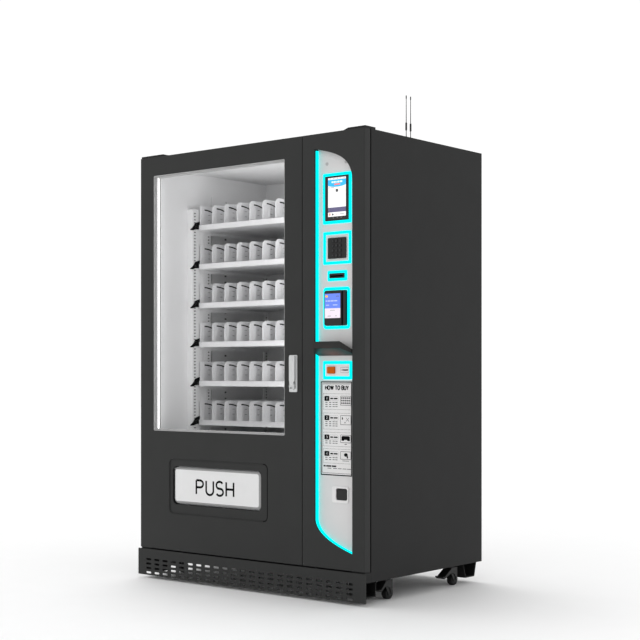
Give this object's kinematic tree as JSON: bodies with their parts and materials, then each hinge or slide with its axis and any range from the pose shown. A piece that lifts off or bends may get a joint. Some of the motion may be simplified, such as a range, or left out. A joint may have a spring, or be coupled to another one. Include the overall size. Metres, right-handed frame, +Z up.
{
  "type": "snack vending machine",
  "caption": "Free-standing snack vending machine with a glazed product door, pull-out lane trays, push-in delivery flap and a separate lit control door, on casters.",
  "frame": {"origin": "on the floor under the middle of the machine's overall width and depth", "axes": "+Z up, front faces -Y, +X to the right as seen from the front"},
  "size_m": [1.328, 0.914, 2.133],
  "materials": {
    "body_paint": "satin",
    "door_paint": "satin",
    "beam_paint": "satin",
    "liner_white": "satin",
    "liner_grey": "satin",
    "machine_grey": "satin",
    "glazing": "gloss",
    "frame_white": "satin",
    "lamp_white": "matte",
    "black_plastic": "satin",
    "dark_plastic": "gloss",
    "lock_metal": "satin",
    "flap_white": "gloss",
    "fascia_pale": "satin",
    "panel_pale": "satin",
    "glow_cyan": "gloss",
    "screen_black": "gloss",
    "button_orange": "gloss",
    "key_black": "satin",
    "tray_white": "satin",
    "fork_steel": "satin",
    "wheel_rubber": "matte"
  },
  "bodies": {
    "cabinet": {"cabinet_panels": "body_paint", "rear_panel": "body_paint", "base_beams": "beam_paint", "kick_panel": "door_paint", "hinge_plates": "body_paint", "antennas": "black_plastic", "inner_liner": "liner_white", "shelf_uprights": "liner_white", "tray_latches": "black_plastic", "delivery_bin": "liner_grey", "cooling_unit": "machine_grey"},
    "main_door": {"main_door_skin": "door_paint", "door_inner_panel": "liner_grey", "window_glass": "glazing", "window_frame": "frame_white", "door_lights": "lamp_white", "delivery_surround": "door_paint", "lock_housing": "lock_metal"},
    "delivery_flap": {"delivery_flap": "flap_white"},
    "lock_spindle": {"lock_spindle": "lock_metal"},
    "lock_lever": {"lock_lever": "lock_metal"},
    "control_door": {"control_door_skin": "door_paint", "fascia_plate": "fascia_pale", "light_guides": "glow_cyan", "touch_screen": "screen_black", "keypad_housing": "black_plastic", "bill_slot": "black_plastic", "card_terminal": "black_plastic", "scanner_hood": "dark_plastic", "coin_panel": "panel_pale", "instruction_plate": "panel_pale", "coin_return_cup": "panel_pale"},
    "coin_button": {"coin_button": "button_orange"},
    "coin_return_flap": {"coin_return_flap": "black_plastic"},
    "key_1": {"key_1": "key_black"},
    "key_2": {"key_2": "key_black"},
    "key_3": {"key_3": "key_black"},
    "key_4": {"key_4": "key_black"},
    "key_5": {"key_5": "key_black"},
    "key_6": {"key_6": "key_black"},
    "key_7": {"key_7": "key_black"},
    "key_8": {"key_8": "key_black"},
    "key_9": {"key_9": "key_black"},
    "key_10": {"key_10": "key_black"},
    "key_11": {"key_11": "key_black"},
    "key_12": {"key_12": "key_black"},
    "tray_1": {"tray_1": "tray_white"},
    "tray_2": {"tray_2": "tray_white"},
    "tray_3": {"tray_3": "tray_white"},
    "tray_4": {"tray_4": "tray_white"},
    "tray_5": {"tray_5": "tray_white"},
    "tray_6": {"tray_6": "tray_white"},
    "caster_fl": {"caster_fork_fl": "fork_steel"},
    "wheel_fl": {"caster_wheel_fl": "wheel_rubber"},
    "caster_fr": {"caster_fork_fr": "fork_steel"},
    "wheel_fr": {"caster_wheel_fr": "wheel_rubber"},
    "caster_rl": {"caster_fork_rl": "fork_steel"},
    "wheel_rl": {"caster_wheel_rl": "wheel_rubber"},
    "caster_rr": {"caster_fork_rr": "fork_steel"},
    "wheel_rr": {"caster_wheel_rr": "wheel_rubber"}
  },
  "joints": [
    {"name": "main_door_hinge", "type": "hinge", "parent": "cabinet", "child": "main_door", "pos_m": [-0.642, -0.394, 1.04], "axis": [0, 0, -1], "range_deg": [0, 110]},
    {"name": "control_door_hinge", "type": "hinge", "parent": "cabinet", "child": "control_door", "pos_m": [0.642, -0.394, 1.04], "axis": [0, 0, 1], "range_deg": [0, 100]},
    {"name": "delivery_flap_hinge", "type": "hinge", "parent": "main_door", "child": "delivery_flap", "pos_m": [-0.175, -0.399, 0.512], "axis": [1, 0, 0], "range_deg": [0, 75]},
    {"name": "lock_spindle_turn", "type": "hinge", "parent": "main_door", "child": "lock_spindle", "pos_m": [0.281, -0.415, 0.89], "axis": [0, 1, 0], "range_deg": [0, 90]},
    {"name": "lock_lever_lift", "type": "hinge", "parent": "lock_spindle", "child": "lock_lever", "pos_m": [0.281, -0.426, 0.89], "axis": [1, 0, 0], "range_deg": [0, 32]},
    {"name": "coin_button_press", "type": "slide", "parent": "control_door", "child": "coin_button", "axis": [0, 1, 0], "range_m": [0, 0.004], "stiffness_N_per_m": 400, "springref_m": -0.001},
    {"name": "coin_return_flap_hinge", "type": "hinge", "parent": "control_door", "child": "coin_return_flap", "pos_m": [0.521, -0.387, 0.464], "axis": [1, 0, 0], "range_deg": [0, 75]},
    {"name": "key_1_press", "type": "slide", "parent": "control_door", "child": "key_1", "axis": [0, 1, 0], "range_m": [0, 0.0015], "stiffness_N_per_m": 300, "springref_m": -0.0005},
    {"name": "key_2_press", "type": "slide", "parent": "control_door", "child": "key_2", "axis": [0, 1, 0], "range_m": [0, 0.0015], "stiffness_N_per_m": 300, "springref_m": -0.0005},
    {"name": "key_3_press", "type": "slide", "parent": "control_door", "child": "key_3", "axis": [0, 1, 0], "range_m": [0, 0.0015], "stiffness_N_per_m": 300, "springref_m": -0.0005},
    {"name": "key_4_press", "type": "slide", "parent": "control_door", "child": "key_4", "axis": [0, 1, 0], "range_m": [0, 0.0015], "stiffness_N_per_m": 300, "springref_m": -0.0005},
    {"name": "key_5_press", "type": "slide", "parent": "control_door", "child": "key_5", "axis": [0, 1, 0], "range_m": [0, 0.0015], "stiffness_N_per_m": 300, "springref_m": -0.0005},
    {"name": "key_6_press", "type": "slide", "parent": "control_door", "child": "key_6", "axis": [0, 1, 0], "range_m": [0, 0.0015], "stiffness_N_per_m": 300, "springref_m": -0.0005},
    {"name": "key_7_press", "type": "slide", "parent": "control_door", "child": "key_7", "axis": [0, 1, 0], "range_m": [0, 0.0015], "stiffness_N_per_m": 300, "springref_m": -0.0005},
    {"name": "key_8_press", "type": "slide", "parent": "control_door", "child": "key_8", "axis": [0, 1, 0], "range_m": [0, 0.0015], "stiffness_N_per_m": 300, "springref_m": -0.0005},
    {"name": "key_9_press", "type": "slide", "parent": "control_door", "child": "key_9", "axis": [0, 1, 0], "range_m": [0, 0.0015], "stiffness_N_per_m": 300, "springref_m": -0.0005},
    {"name": "key_10_press", "type": "slide", "parent": "control_door", "child": "key_10", "axis": [0, 1, 0], "range_m": [0, 0.0015], "stiffness_N_per_m": 300, "springref_m": -0.0005},
    {"name": "key_11_press", "type": "slide", "parent": "control_door", "child": "key_11", "axis": [0, 1, 0], "range_m": [0, 0.0015], "stiffness_N_per_m": 300, "springref_m": -0.0005},
    {"name": "key_12_press", "type": "slide", "parent": "control_door", "child": "key_12", "axis": [0, 1, 0], "range_m": [0, 0.0015], "stiffness_N_per_m": 300, "springref_m": -0.0005},
    {"name": "tray_1_slide", "type": "slide", "parent": "cabinet", "child": "tray_1", "axis": [0, -1, 0], "range_m": [0, 0.2]},
    {"name": "tray_2_slide", "type": "slide", "parent": "cabinet", "child": "tray_2", "axis": [0, -1, 0], "range_m": [0, 0.2]},
    {"name": "tray_3_slide", "type": "slide", "parent": "cabinet", "child": "tray_3", "axis": [0, -1, 0], "range_m": [0, 0.2]},
    {"name": "tray_4_slide", "type": "slide", "parent": "cabinet", "child": "tray_4", "axis": [0, -1, 0], "range_m": [0, 0.2]},
    {"name": "tray_5_slide", "type": "slide", "parent": "cabinet", "child": "tray_5", "axis": [0, -1, 0], "range_m": [0, 0.2]},
    {"name": "tray_6_slide", "type": "slide", "parent": "cabinet", "child": "tray_6", "axis": [0, -1, 0], "range_m": [0, 0.2]},
    {"name": "caster_fl_swivel", "type": "hinge", "parent": "cabinet", "child": "caster_fl", "pos_m": [-0.603, -0.207, 0.08], "axis": [0, 0, 1], "continuous": true},
    {"name": "wheel_fl_roll", "type": "hinge", "parent": "caster_fl", "child": "wheel_fl", "pos_m": [-0.603, -0.189, 0.026], "axis": [1, 0, 0], "continuous": true},
    {"name": "caster_fr_swivel", "type": "hinge", "parent": "cabinet", "child": "caster_fr", "pos_m": [0.603, -0.207, 0.08], "axis": [0, 0, 1], "continuous": true},
    {"name": "wheel_fr_roll", "type": "hinge", "parent": "caster_fr", "child": "wheel_fr", "pos_m": [0.603, -0.189, 0.026], "axis": [1, 0, 0], "continuous": true},
    {"name": "caster_rl_swivel", "type": "hinge", "parent": "cabinet", "child": "caster_rl", "pos_m": [-0.603, 0.279, 0.08], "axis": [0, 0, 1], "range_deg": [-100, 100]},
    {"name": "wheel_rl_roll", "type": "hinge", "parent": "caster_rl", "child": "wheel_rl", "pos_m": [-0.603, 0.297, 0.026], "axis": [1, 0, 0], "continuous": true},
    {"name": "caster_rr_swivel", "type": "hinge", "parent": "cabinet", "child": "caster_rr", "pos_m": [0.603, 0.279, 0.08], "axis": [0, 0, 1], "range_deg": [-100, 100]},
    {"name": "wheel_rr_roll", "type": "hinge", "parent": "caster_rr", "child": "wheel_rr", "pos_m": [0.603, 0.297, 0.026], "axis": [1, 0, 0], "continuous": true}
  ]
}
